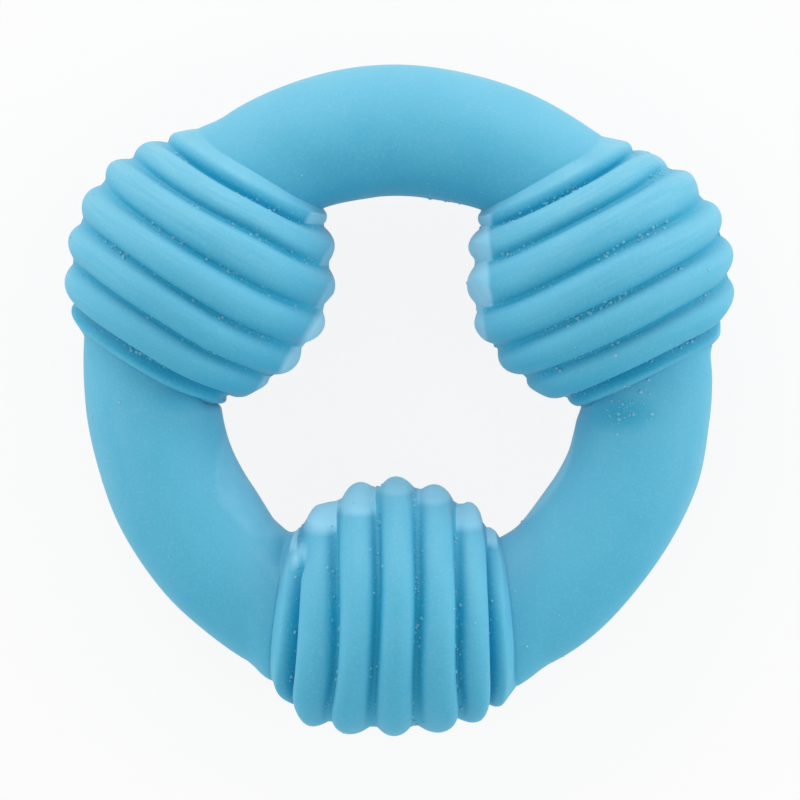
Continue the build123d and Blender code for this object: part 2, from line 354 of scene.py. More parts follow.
def read_values(items, field, width=1):
    """One field of a mesh's points as an array."""
    flat = np.empty(len(items) * width, dtype=np.float32)
    items.foreach_get(field, flat)
    return flat.astype(float).reshape((-1, width) if width > 1 else -1)


def write_values(mesh, name, values):
    """Stores numbers or vectors as an attribute of the mesh's points."""
    kind, field = ("FLOAT", "value") if np.ndim(values) == 1 else ("FLOAT_VECTOR", "vector")
    layer = mesh.attributes.get(name) or mesh.attributes.new(name, kind, "POINT")
    layer.data.foreach_set(field, np.asarray(values, dtype=np.float32).ravel())


def smooth_step(low, high, value):
    """0 below low, 1 above high, and an S-curve between."""
    share = np.clip((value - low) / (high - low), 0, 1)
    return share * share * (3 - 2 * share)


def spot(points, place, reach):
    """1 at a place in mm, fading away over a reach in mm along each axis."""
    return np.exp(-np.sum(((points / MM - place) / reach) ** 2, -1))


def off_axis(points):
    """Distance of points from the ring's axis."""
    return np.hypot(points[..., 0], points[..., 1])


def off_bearing(points, angle):
    """Degrees round the ring between points and an angle."""
    bearing = np.degrees(np.arctan2(points[:, 1], points[:, 0]))
    return np.abs((bearing - angle + 180) % 360 - 180)


def turns(steps):
    """Angles of the steps round a tube."""
    return np.arange(steps) * TAU / steps


def smoothed(rows, weight, passes):
    """Rows of points, drawn towards the middle of their neighbours along the ring."""
    for _ in range(passes):
        around = (np.roll(rows, 1, 0) + np.roll(rows, -1, 0)) / 2
        rows = rows + weight * (around - rows)
    return rows


def crown_point(form, run, depth):
    """Distance from the barrel's axis and along it, for a run along the crown and a depth under it."""
    angle = run / form.crown_radius
    radius = form.crown_radius - depth
    return form.barrel_radius - form.crown_radius + radius * np.cos(angle), radius * np.sin(angle)


def rib_runs(form):
    """Runs along the crown from the middle crest to the collar's edge, closest beside the grooves."""
    steps = np.linspace(0, 1, HALF_RIB_STEPS + 1)[1:]
    to_groove = 1 - (1 - steps) ** RIB_CROWDING
    to_crest = steps ** RIB_CROWDING
    runs = [0.0]
    for half_rib in range(form.rib_count):
        shape = to_groove if half_rib % 2 == 0 else to_crest
        runs.extend((half_rib + shape) * form.rib_pitch / 2)
    last = form.rib_count * form.rib_pitch / 2
    runs.extend(last + np.linspace(0, 1, COLLAR_STEPS + 1)[1:] ** COLLAR_CROWDING * form.collar_pitch)
    return np.array(runs)


def half_sector(form, runs, depth, slope_start, slope_end, tube, arc_steps, round_steps):
    """Half a barrel and half an arc as rows of points: out from the barrel's axis, along it and up."""
    turn = turns(round_steps)
    axis = form.ring_radius - form.set_in

    def section(across, along):
        return np.stack([across * np.cos(turn), np.broadcast_to(along, turn.shape), across * np.sin(turn)], 1)

    def on_slope(share):
        return section(*(start + share * (end - start) for start, end in zip(slope_start, slope_end)))

    rows = [section(*crown_point(form, run, depth)) for run in runs]
    low, high = np.zeros(round_steps), np.ones(round_steps)
    for _ in range(BISECTIONS):
        middle = (low + high) / 2
        point = on_slope(middle)
        outside = np.hypot(np.hypot(axis + point[:, 0], point[:, 1]) - form.ring_radius, point[:, 2]) > tube
        low, high = np.where(outside, middle, low), np.where(outside, high, middle)
    rows.extend(on_slope(low * share) for share in SLOPE_SHARES)
    crease = rows[-1]
    ring = np.hypot(axis + crease[:, 0], crease[:, 1])
    around = np.arctan2(crease[:, 2], ring - form.ring_radius)
    bearing = np.arctan2(crease[:, 1], axis + crease[:, 0])
    reach = form.ring_radius + tube * np.cos(around)
    for share in (*CREASE_SHARES, *np.linspace(ARC_START, 1, arc_steps)):
        at = bearing + share * (SECTOR - bearing)
        rows.append(np.stack([reach * np.cos(at) - axis, reach * np.sin(at), tube * np.sin(around)], 1))
    return np.array(rows)


def directions(barrel):
    """The barrel's directions outward and along the tube."""
    angle = math.radians(barrel["angle"])
    return np.array((math.cos(angle), math.sin(angle), 0)), np.array((-math.sin(angle), math.cos(angle), 0))


def whole_ring(half, form):
    """The half sector, its mirror image and their copies at the other barrels, as stations round the ring."""
    sector = np.concatenate([(half[::-1] * (1, -1, 1))[:-1], half[:-1]])
    out, along, up = np.split(sector, 3, -1)
    stations = []
    for radial, tangent in map(directions, BARRELS):
        stations.append((form.ring_radius - form.set_in + out) * radial + along * tangent + up * (0, 0, 1))
    return np.concatenate(stations)


def per_station(half_row_values):
    """One value for each station, from the values of the half sector's rows."""
    sector = np.concatenate([half_row_values[::-1][:-1], half_row_values[:-1]])
    return np.tile(sector, len(BARRELS))


def marked(row_count, first, last, values=1.0):
    """One value for each station: values on the half sector's rows from first up to last, and 0 elsewhere."""
    made = np.zeros(row_count)
    made[first:last] = values
    return per_station(made)


def per_barrel(values, count):
    """Each barrel's value, for its share of a count of stations or points."""
    return np.repeat(values, count // len(BARRELS), axis=0)


def station_sides(count):
    """-1 before and 1 after the middle of each barrel, for a count of stations."""
    sector = count // len(BARRELS)
    return np.sign(np.arange(count) % sector - sector // 2)


def inward_directions(form, station_runs):
    """Unit vectors from the crown towards its centre, in which the grooves are pressed."""
    count = len(station_runs)
    lean = (station_runs * station_sides(count) / form.crown_radius)[:, None, None]
    radial, tangent = (per_barrel(way, count)[:, None] for way in zip(*map(directions, BARRELS)))
    turn = turns(ROUND_STEPS)[:, None]
    return -(np.cos(lean) * (np.cos(turn) * radial + np.sin(turn) * (0, 0, 1)) + np.sin(lean) * tangent)


def grid_faces(stations, round_steps, first, hole):
    """Quads of a closed grid whose vertices start at first, without those inside the hole's index box."""
    faces = []
    middle, half_along, centre, half_round = hole
    for station in range(stations):
        for step in range(round_steps):
            along = (station - middle + stations // 2) % stations - stations // 2
            if -half_along <= along < half_along and centre - half_round <= step < centre + half_round:
                continue
            ahead, beside = (station + 1) % stations, (step + 1) % round_steps
            corners = ((station, step), (ahead, step), (ahead, beside), (station, beside))
            faces.append([first + row * round_steps + place for row, place in corners])
    return faces


def hole_loop(stations, round_steps, first, hole):
    """Vertex numbers round the hole's index box, in order."""
    middle, half_along, centre, half_round = hole
    loop = [(middle - half_along + step, centre - half_round) for step in range(2 * half_along)]
    loop += [(middle + half_along, centre - half_round + step) for step in range(2 * half_round)]
    loop += [(middle + half_along - step, centre + half_round) for step in range(2 * half_along)]
    loop += [(middle - half_along, centre + half_round - step) for step in range(2 * half_round)]
    return [first + (row % stations) * round_steps + place for row, place in loop]


def port_loops(form, outline):
    """Rings of points from the hole in the grid over the boss, the flange seat and the neck to the inside."""
    face = BUSH_BOX[0].z
    bush = (BUSH_BOX[1].x - BUSH_BOX[0].x) / 2
    boss, flange = bush + BOSS_RIM, bush + SEAT_GAP
    neck = flange - FLANGE_STEP
    pocket = neck + BARB_STEP
    seat = face + FLANGE_THICKNESS
    lip = seat + LIP_THICKNESS
    centre = np.array((math.cos(PORT_ANGLE), math.sin(PORT_ANGLE))) * form.ring_radius
    spokes = outline[:, :2] - centre
    reach = off_axis(spokes)
    spokes = spokes / reach[:, None]

    def ring(radius, share=1.0, height=face, surface=form.tube_radius):
        plan = centre + spokes * np.broadcast_to(radius, reach.shape)[:, None]
        rear = -np.sqrt(np.maximum(surface ** 2 - (off_axis(plan) - form.ring_radius) ** 2, 0))
        return np.column_stack([plan, rear + share * (height - rear)])

    loops = [ring(reach + (boss + 0.7 * MM - reach) * share, 0.0) for share in (0.25, 0.5, 0.75, 1)]
    # The boss rises out of the tube's rear through a small hollow
    for radius, share, hollow in ((0.3, 0.03, 0.08), (0.08, 0.25, 0.04), (0.0, 0.65, 0.0), (-0.1, 0.9, 0.0)):
        loops.append(ring(boss + radius * MM, share) - np.array((0, 0, hollow)) * MM)
    # Face of the boss, seat of the flange, neck and inside of the lip, each with its small roundings
    for radius, height in (
        (boss - 0.35 * MM, face),
        (boss - 0.9 * MM, face),
        (flange + 0.25 * MM, face),
        (flange + 0.08 * MM, face + 0.05 * MM),
        (flange, face + 0.2 * MM),
        (flange, seat - 0.05 * MM),
        (flange - 0.05 * MM, seat),
        (neck + 0.1 * MM, seat),
        (neck, seat + 0.1 * MM),
        (neck, lip - 0.1 * MM),
        (neck + 0.1 * MM, lip),
        (pocket, lip),
    ):
        loops.append(ring(radius, height=height))
    inside = ring(pocket + 0.6 * MM, 0.0, surface=form.tube_radius - form.wall)
    inside[:, 2] = np.maximum(inside[:, 2], lip) + 0.02 * MM
    return loops + [inside]


def skin_blank(form, runs, facing):
    """Points and quads of the crowned skin before its ribs, the stations of its outside, and the two loops
    that are still to be bridged inside the port."""
    collar_run = runs[-1]
    bore = form.tube_radius - form.wall
    outer = whole_ring(half_sector(
        form, runs, 0, crown_point(form, collar_run, form.collar_drop),
        (form.tube_radius - form.collar_sink, form.barrel_length / 2 - form.collar_short * facing),
        form.tube_radius, ARC_STEPS, ROUND_STEPS,
    ), form)
    depth = form.groove_depth + form.wall
    inner = whole_ring(half_sector(
        form, np.linspace(0, collar_run, CAVITY_CROWN_STEPS + 1), depth, crown_point(form, collar_run, depth),
        (bore, form.barrel_length / 2 - form.wall), bore, CAVITY_ARC_STEPS, CAVITY_ROUND_STEPS,
    ), form)

    def grid(rows, first, hole):
        # The port lies on the rear, in the middle of the arc before the last barrel
        stations, steps = rows.shape[:2]
        half_along, half_round = hole
        return stations, steps, first, (2 * stations // 3, half_along, 3 * steps // 4, half_round)

    outer_grid = grid(outer, 0, PORT_HOLE)
    inner_grid = grid(inner, len(outer) * ROUND_STEPS, CAVITY_HOLE)
    ring = hole_loop(*outer_grid)
    points = np.concatenate([outer.reshape(-1, 3), inner.reshape(-1, 3)])
    faces = grid_faces(*outer_grid) + [face[::-1] for face in grid_faces(*inner_grid)]
    for loop in port_loops(form, points[ring]):
        following = list(range(len(points), len(points) + len(ring)))
        for a in range(len(ring)):
            b = (a + 1) % len(ring)
            faces.append([ring[a], ring[b], following[b], following[a]])
        points = np.concatenate([points, loop])
        ring = following
    return points, faces, outer, (hole_loop(*inner_grid), ring)


def rib_tree():
    """Presses ribs into crowned barrels: arcs over flat floors at the parting plane, fuller ribs over narrow
    grooves on the front and the rear, and the collars past the last groove."""
    tree, add, size = geometry_tree("barrel ribs", [(name, "Float") for name in (
        "Rib pitch", "Rib fullness", "Groove width", "Groove depth", "Groove floor", "Groove floor, sides",
        "Groove rounding", "Last groove", "Last groove deeper", "Collar pitch", "Collar drop",
    )])
    run, press, facing = (
        add(NAMED, {"Name": name}, data_type="FLOAT") for name in ("crown_run", "pressed", "facing")
    )
    inward = add(NAMED, {"Name": "inward"}, data_type="FLOAT_VECTOR")
    last, pitch, full = size["Last groove"], size["Rib pitch"], size["Rib fullness"]
    # Ribs: arcs at the parting plane, and fuller forms on the front and the rear
    half_pitch = add(MATH, {0: pitch, 1: 0.5}, operation="MULTIPLY")
    off_crest = add(MATH, {0: run, 1: half_pitch}, operation="PINGPONG")
    rib_width = add(MATH, {0: pitch, 1: size["Groove width"]}, operation="SUBTRACT")
    half_width = add(MATH, {0: rib_width, 1: 0.5}, operation="MULTIPLY")
    share = add(MATH, {0: off_crest, 1: half_width}, operation="DIVIDE", use_clamp=True)
    fallen = add(MATH, {0: share, 1: full}, operation="POWER")
    left = add(MATH, {0: 1.0, 1: fallen}, operation="SUBTRACT")
    root = add(MATH, {0: 1.0, 1: full}, operation="DIVIDE")
    height = add(MATH, {0: left, 1: root}, operation="POWER")
    drop = add(MATH, {0: 1.0, 1: height}, operation="SUBTRACT")
    across = add(MATH, {0: off_crest, 1: half_pitch}, operation="DIVIDE")
    arc = add(MATH, {0: across, 1: 2.0}, operation="POWER")
    shape = add(MIX, {0: facing, 2: arc, 3: drop}, data_type="FLOAT")
    rib = add(MATH, {0: shape, 1: size["Groove depth"]}, operation="MULTIPLY")
    # Collars: a quarter ellipse from the last groove to the collar's edge
    collar_edge = add(MATH, {0: last, 1: size["Collar pitch"]}, operation="ADD")
    collar_left = add(RANGE, {0: run, 1: last, 2: collar_edge, 3: 1.0, 4: 0.0})
    collar_square = add(MATH, {0: collar_left, 1: 2.0}, operation="POWER")
    collar_rest = add(MATH, {0: 1.0, 1: collar_square}, operation="SUBTRACT")
    collar_height = add(MATH, {0: collar_rest}, operation="SQRT")
    collar = add(RANGE, {0: collar_height, 1: 0.0, 2: 1.0, 3: size["Groove depth"], 4: size["Collar drop"]})
    past = add(MATH, {0: run, 1: last}, operation="GREATER_THAN")
    sharp = add(MIX, {0: past, 2: rib, 3: collar}, data_type="FLOAT")
    # Flat groove floors, deeper beside the collars
    floor = add(
        MIX, {0: facing, 2: size["Groove floor, sides"], 3: size["Groove floor"]}, data_type="FLOAT"
    )
    depth = add(MATH, {0: sharp, 1: floor, 2: size["Groove rounding"]}, operation="SMOOTH_MIN")
    past_last = add(MATH, {0: run, 1: last}, operation="SUBTRACT")
    off_last = add(MATH, {0: past_last}, operation="ABSOLUTE")
    deeper = add(
        RANGE, {0: off_last, 1: 0.0, 2: size["Groove floor"], 3: size["Last groove deeper"], 4: 0.0},
        interpolation_type="SMOOTHSTEP",
    )
    depth = add(MATH, {0: deeper, 1: facing, 2: depth}, operation="MULTIPLY_ADD")
    masked = add(MATH, {0: depth, 1: press}, operation="MULTIPLY")
    filled = add(MATH, {0: masked, 1: floor}, operation="DIVIDE")
    stored = add(
        "GeometryNodeStoreNamedAttribute", {"Geometry": size["Geometry"], "Name": "groove", "Value": filled},
        data_type="FLOAT", domain="POINT",
    )
    offset = add("ShaderNodeVectorMath", {0: inward, "Scale": masked}, operation="SCALE")
    moved = add("GeometryNodeSetPosition", {"Geometry": stored, "Offset": offset})
    real = add("GeometryNodeRealizeInstances", {"Geometry": moved})
    dressed = add("GeometryNodeSetMaterial", {"Geometry": real, "Material": size["Material"]})
    add("NodeGroupOutput", {"Geometry": dressed}, out=None)
    return tree


def pimple_tree():
    """Scatters small domes over a surface, as thick as its pimple attribute says, most of them small."""
    sizes = (("Radius", "Float"), ("Density", "Float"), ("Seed", "Int"))
    tree, add, size = geometry_tree("latex pimples", sizes)
    thick = add(NAMED, {"Name": "pimple"}, data_type="FLOAT")
    density = add(MATH, {0: thick, 1: size["Density"]}, operation="MULTIPLY")
    points = add(
        "GeometryNodeDistributePointsOnFaces",
        {"Mesh": size["Geometry"], "Density": density, "Seed": size["Seed"]},
        out=None, distribute_method="RANDOM",
    )
    chance = add(
        "FunctionNodeRandomValue", {2: 0.0, 3: 1.0, "Seed": size["Seed"]}, out=1, data_type="FLOAT"
    )
    small = add(MATH, {0: chance, 1: 3.0}, operation="POWER")
    width = add(RANGE, {0: small, 3: 0.35, 4: 1.0})
    low = add(MATH, {0: width, 1: 0.7}, operation="MULTIPLY")
    scale = add("ShaderNodeCombineXYZ", {0: width, 1: width, 2: low})
    dome = add("GeometryNodeMeshUVSphere", {"Segments": 8, "Rings": 5, "Radius": size["Radius"]})
    smooth = add("GeometryNodeSetShadeSmooth", {"Geometry": dome})
    placed = add(
        "GeometryNodeInstanceOnPoints",
        {"Points": points["Points"], "Instance": smooth, "Rotation": points["Rotation"], "Scale": scale},
    )
    real = add("GeometryNodeRealizeInstances", {"Geometry": placed})
    real = add(
        "GeometryNodeStoreNamedAttribute", {"Geometry": real, "Name": "pimpled", "Value": 1.0},
        data_type="FLOAT", domain="POINT",
    )
    dressed = add("GeometryNodeSetMaterial", {"Geometry": real, "Material": size["Material"]})
    add("NodeGroupOutput", {"Geometry": dressed}, out=None)
    return tree


def run_tree(context, blank, tree, values):
    """Runs a node tree on a mesh and gives its plain result; values go to the tree's inputs by name."""
    carrier = show(context, blank.name, blank)
    modifier = carrier.modifiers.new(tree.name, "NODES")
    modifier.node_group = tree
    sockets = {s.name: s.identifier for s in tree.interface.items_tree if s.in_out == "INPUT"}
    for name, value in values.items():
        modifier[sockets[name]] = value
    graph = context.evaluated_depsgraph_get()
    mesh = bpy.data.meshes.new_from_object(carrier.evaluated_get(graph))
    carrier.modifiers.remove(modifier)
    bpy.data.objects.remove(carrier)
    return mesh


def barrel_view(points, form, barrel):
    """Points as distances out from the barrel's axis, along it and up, and whether they lie on its side."""
    radial, tangent = directions(barrel)
    out = points @ radial - (form.ring_radius - form.set_in)
    return out, points @ tangent, points[:, 2], out > -BARREL_SIDE * form.ring_radius


def groove_stray(form, barrel, out, along, up):
    """How far points move along the barrel where its grooves strayed, from the barrel's tables in mm."""
    runs = (np.arange(form.rib_count + 1) - form.rib_count / 2) * form.rib_pitch
    places = form.crown_radius * np.sin(runs / form.crown_radius)
    level = np.clip(out / MM, STRAY_LEVELS[0] - 1, STRAY_LEVELS[-1] + 4)
    total = np.zeros(len(along))
    for at, row in zip(STRAY_LEVELS, barrel["stray"]):
        weight = np.ones(len(along))
        for other in STRAY_LEVELS:
            if other != at:
                weight = weight * (level - other) / (at - other)
        total = total + weight * np.interp(along, places, row)
    outermost = smooth_step(*OUTERMOST_RISE, out) * (1 - smooth_step(*OUTERMOST_FADE, np.abs(up)))
    return (total + outermost * (np.interp(along, places, barrel["stray_outermost"]) - total)) * MM


def as_cast(points, form):
    """The small differences between the pattern and this casting, on its barrels and round the ring."""
    moved = points.copy()
    port = np.array((math.cos(PORT_ANGLE), math.sin(PORT_ANGLE), 0)) * form.ring_radius
    clear = smooth_step(*PORT_FADE, off_axis(points - port))
    free = np.maximum(clear, smooth_step(*PORT_FRONT_FADE, points[:, 2]))
    for barrel in BARRELS:
        radial, tangent = directions(barrel)
        out, along, up, on_side = barrel_view(points, form, barrel)
        near = (1 - smooth_step(*BARREL_FADE, np.abs(along))) * on_side
        front = smooth_step(*FRONT_FADE, up)
        grow = barrel["girth"] - 1
        turn = math.radians(barrel["turn"])
        outside = smooth_step(-form.barrel_radius, form.barrel_radius, out)
        ends = smooth_step(*END_FADE, np.abs(along))
        low, high = (hole + outside * (outer - hole) for hole, outer in barrel["closed"])
        close_up = np.where(along < 0, low, -high) * ends
        close_up = close_up + barrel["lean"] * np.maximum(up, 0) / form.barrel_radius
        out_move = grow * out - turn * along + barrel["bend"] * MM * (along / BEND_AT) ** 2
        along_move = barrel["slide"] * MM + turn * out + barrel["spread"] * along * out / form.barrel_radius
        along_move = along_move + close_up * MM + groove_stray(form, barrel, out, along, up)
        moved += (near * out_move)[:, None] * radial + (near * along_move)[:, None] * tangent
        moved[:, 2] += near * front * grow * up
    ring = off_axis(points)
    outer_side = smooth_step(-form.tube_radius, form.tube_radius, ring - form.ring_radius)
    for angle, width, hole_move, outer_move in SWELLS:
        share = free * (1 - smooth_step(0, width, off_bearing(points, angle)))
        if width < NARROW_SWELL:
            share = share * (1 - smooth_step(*NARROW_FADE, np.abs(points[:, 2])))
        move = share * (hole_move * (1 - outer_side) + outer_move * outer_side) * MM
        moved[:, :2] += move[:, None] * points[:, :2] / ring[:, None]
    moved += free[:, None] * wobble(points)
    moved[:, 2] = np.maximum(moved[:, 2], SKIN_BOX[0].z)
    return moved


def wobble(points):
    """Slow waves of a hand-finished pattern, about a fifth of a millimetre on average."""
    chance = np.random.default_rng(WOBBLE_SEED)
    moves = np.zeros(points.shape)
    for wave_length in WAVE_LENGTHS:
        for _ in range(2):
            heading, sway = chance.normal(size=3), chance.normal(size=3)
            heading, sway = heading / np.linalg.norm(heading), sway / np.linalg.norm(sway)
            phase = points @ heading * TAU / (wave_length * MM) + chance.uniform(0, TAU)
            moves += np.sin(phase)[:, None] * sway * wave_length * WAVE_RISE * MM
    return moves


def shape_collars(rows, form, past, facing):
    """Opens, eases and fillets the collars of the pressed skin and sinks the crease beside them. Past is the
    first row of half a sector beyond the collar's edge. Also gives the stations beside an open collar."""
    count = len(rows)
    half_rows = np.arange(count // len(BARRELS) // 2 + 1)
    sloped = np.clip((half_rows - past + 1) / len(SLOPE_SHARES), 0, 1)
    opened = per_station((half_rows > past + FLANK_ROWS[0]) * (1 - sloped))
    shortened = per_station(sloped * (1 - smooth_step(past + CREASE_ROW, past + 16, half_rows)))
    end, wider, shorter = per_barrel([barrel["open_end"] for barrel in BARRELS], count).T
    tangent = per_barrel([directions(barrel)[1] for barrel in BARRELS], count)
    open_side = (station_sides(count) == end) & (end != 0)
    slid = open_side * (opened * wider - shortened * shorter) * end * MM
    rows = rows + (slid[:, None] * facing)[..., None] * tangent[:, None]

    def on_rows(first, last):
        return marked(len(half_rows), past + first, past + last)[:, None, None]

    rows = smoothed(rows, 0.5 * on_rows(*EASED_ROWS), 2)
    rows = smoothed(rows, 0.5 * (1 - 0.8 * facing[None, :, None]) * on_rows(*FILLET_ROWS), 4)
    creased = on_rows(CREASE_ROW, CREASE_ROW + 1).ravel() > 0
    line = rows[creased]
    inward = line * (1, 1, 0) / off_axis(line)[..., None] * form.ring_radius - line
    fine = form.crease_depth * (1 - 0.6 * smooth_step(10 * MM, 25 * MM, line[..., 1]))
    rows[creased] = line + inward / np.linalg.norm(inward, axis=-1)[..., None] * fine[..., None]
    return rows, open_side


def ground_seam(points, runs, pressed, outside, form):
    """Facets where the seam beside the hole was ground off the rib ends, and how far each point lies under
    the wheel; along the smooth tube the seam was only buffed, and outside it shows as a thin line."""
    ground = points.copy()
    under = np.where(outside, SEAM_BARE - np.abs(points[:, 2]) / MM * SEAM_FALL, -1.0)
    smooth_front = outside & (pressed == 0) & (points[:, 2] > -SEAM_BAND)
    for angle, half_reach, width, edge, bare in BUFFED:
        off = off_bearing(points, angle)
        width = width * (1 - smooth_step(half_reach - BUFFED_TAPER, half_reach + BUFFED_END, off))
        inside = (form.ring_radius - form.tube_radius - off_axis(points)) / MM + width
        band = np.minimum(inside * edge - 0.1, bare)
        band = band - smooth_step(half_reach, half_reach + BUFFED_END, off)
        under = np.where(smooth_front, np.maximum(under, band), under)
    middle_rib = form.rib_count // 2
    for barrel in BARRELS:
        radial = directions(barrel)[0]
        out, along, up, on_side = barrel_view(points, form, barrel)
        near = outside & (pressed > 0) & (np.abs(along) < form.barrel_length / 2 + 3 * MM) & on_side
        level = np.abs(up) < SEAM_BAND
        front = 0.45 + 0.55 * smooth_step(-6 * MM, 2 * MM, up)
        wheel = math.radians(barrel["wheel"])
        rib = np.clip(np.rint(np.sign(along) * runs / form.rib_pitch), -middle_rib, middle_rib)
        collar = runs > form.rib_count * form.rib_pitch / 2
        rib = np.where(collar, np.sign(along) * (middle_rib + 1), rib)
        for number, (width, most) in enumerate(barrel["ground"]):
            here = near & (rib == number - middle_rib - 1)
            if width == 0 or not here.any():
                continue
            reach = -out[here & level].min()
            tilt = math.acos(1 - width * MM / reach) / 2
            over = np.where(here, -out * math.cos(tilt) + up * math.sin(tilt) - reach * math.cos(tilt), -MM)
            depth = np.maximum(over, 0) * GROUND_SHARE
            ground += (depth * math.cos(tilt))[:, None] * radial
            ground[:, 2] -= depth * math.sin(tilt)
            ahead = out * math.cos(wheel) + along * math.sin(wheel)
            ahead = ahead - ahead[here & level].min()
            bare = np.minimum((width * front - ahead / MM) * barrel["edge"], most)
            under = np.where(here, np.maximum(under, bare), under)
    return ground, under


def pimple_places(points, groove, outside, form):
    """How thick the pimples stand at each point: in patches on the groove floors, and in a few clusters."""
    thick = np.where(outside, STRAY_PIMPLES, 0.0)
    floor = smooth_step(*PIMPLED_FLOOR, groove)
    for barrel in BARRELS:
        out, along, up, on_side = barrel_view(points, form, barrel)
        near = outside & (np.abs(along) < form.barrel_length / 2) & on_side
        about = np.arctan2(up, out)
        row = np.rint(along / (form.rib_pitch * 0.9))
        patch = np.sin(3 * about + 2.1 * row + barrel["angle"]) + 0.6 * np.sin(7 * about - 1.3 * row)
        thick = np.where(near, thick + barrel["pimpled"] * floor * smooth_step(-0.9, 1.1, patch), thick)
    for x, y, spread, most in CLUSTERS:
        off = np.hypot(points[:, 0] - x * MM, points[:, 1] - y * MM) / (spread * MM)
        thick = thick + np.where(outside & (points[:, 2] > 0), most * np.exp(-off ** 2), 0)
    return thick * smooth_step(SKIN_BOX[0].z + REST_CLEAR, SKIN_BOX[0].z + REST_FULL, points[:, 2])


def latex_material(colours):
    """Natural latex slip, dyed and cast in plaster: matt and slightly mottled, with a pale dusty bloom,
    painted light on what faces +Y and on the crests, deeper colour in the grooves that is partly thicker dye
    and partly painted shade, painted shade on what faces -Y, and bare paler patches where the seam was ground
    off."""
    material = bpy.data.materials.new("dyed latex, slip cast")
    add = shader_nodes(material)
    place = add("ShaderNodeTexCoord", out="Object")
    mottle = add(NOISE, {"Vector": place, "Scale": 1 / MOTTLE_SIZE, "Detail": 3.0, "Roughness": 0.55})
    grain = add(NOISE, {"Vector": place, "Scale": 1 / GRAIN_SIZE, "Detail": 2.0, "Roughness": 0.5})
    peel = add(NOISE, {"Vector": place, "Scale": 1 / PEEL_SIZE, "Detail": 2.0})
    groove, trimmed, pimpled, crest, facing_plus_y = (
        add("ShaderNodeAttribute", out="Fac", attribute_name=name)
        for name in ("groove", "trimmed", "pimpled", "crest", "facing_plus_y")
    )
    mottled = add(RANGE, {0: mottle, 1: 0.38, 2: 0.68, 3: 0.0, 4: 0.32})
    # Deeper colour in the grooves, partly thicker dye and partly painted shade, and painted shade on what
    # faces -Y, away from the key lamp; the groove attribute also carries the painted shade beside the collars
    groove_dye_and_shade = add(RANGE, {0: groove, 1: 0.3, 2: 0.95, 3: 0.0, 4: 0.85})
    painted_shade_minus_y = add(RANGE, {0: facing_plus_y, 1: -0.9, 2: 0.0, 3: 0.55, 4: 0.0})
    groove_dye_and_shade = add(MATH, {0: groove_dye_and_shade, 1: painted_shade_minus_y}, operation="MAXIMUM")
    # Pale: fine dust grains, painted light on what faces +Y, towards the key lamp, and streaks of dust drawn
    # along the ribs on the crests, whose paleness is painted light that grows towards +Y
    fine = add(RANGE, {0: grain, 1: 0.5, 2: 0.8, 3: 0.0, 4: 0.16})
    painted_light_plus_y = add(RANGE, {0: facing_plus_y, 1: 0.1, 2: 1.0, 3: 0.0, 4: 0.24})
    lay = add("ShaderNodeAttribute", out="Vector", attribute_name="rib_lay")
    streak_scale = (1 / (0.7 * MM), 1 / (13 * MM), 1.0)
    drawn = add("ShaderNodeVectorMath", {0: lay, 1: streak_scale}, operation="MULTIPLY")
    streak = add(NOISE, {"Vector": drawn, "Scale": 1.0, "Detail": 2.0})
    streaked = add(RANGE, {0: streak, 1: 0.35, 2: 0.65, 3: 0.02, 4: 0.18})
    dust = add(MATH, {0: fine, 1: painted_light_plus_y}, operation="ADD")
    dust = add(MATH, {0: crest, 1: streaked, 2: dust}, operation="MULTIPLY_ADD")
    # Bare latex under the wheel, with a ragged edge, and a painted highlight that makes the pimples paler
    ragged = add(MATH, {0: peel, 1: 0.1, 2: trimmed}, operation="MULTIPLY_ADD")
    bare = add(RANGE, {0: ragged, 1: -0.05, 2: 0.35, 3: 0.0, 4: 0.85})
    painted_pimple_highlight = add(RANGE, {0: pimpled, 3: 0.0, 4: 0.38})
    skin = (*colours.latex, 1)
    for share, tint in (
        (mottled, colours.latex_deep),
        (groove_dye_and_shade, colours.latex_groove_and_shade),
        (dust, colours.latex_bloom_and_light),
        (bare, colours.latex_trimmed),
        (painted_pimple_highlight, colours.latex_bloom_and_light),
    ):
        skin = add(MIX, {0: share, 6: skin, 7: (*tint, 1)}, out=2, data_type="RGBA")
    matt = add(RANGE, {0: grain, 1: 0.3, 2: 0.7, 3: 0.48, 4: 0.62})
    rough = add(MATH, {0: pimpled, 1: -0.15, 2: matt}, operation="MULTIPLY_ADD")
    peel_bump = add(BUMP, {"Height": peel, "Distance": PEEL_HEIGHT, "Strength": 1.0})
    bump = add(BUMP, {"Height": grain, "Distance": GRAIN_HEIGHT, "Strength": 1.0, "Normal": peel_bump})
    shader = add("ShaderNodeBsdfPrincipled", {
        "Base Color": skin, "Roughness": rough, "IOR": 1.52, "Specular IOR Level": 0.2, "Normal": bump,
        "Sheen Weight": 0.1, "Sheen Roughness": 0.4,
    })
    add("ShaderNodeOutputMaterial", {"Surface": shader}, out=None)
    return material


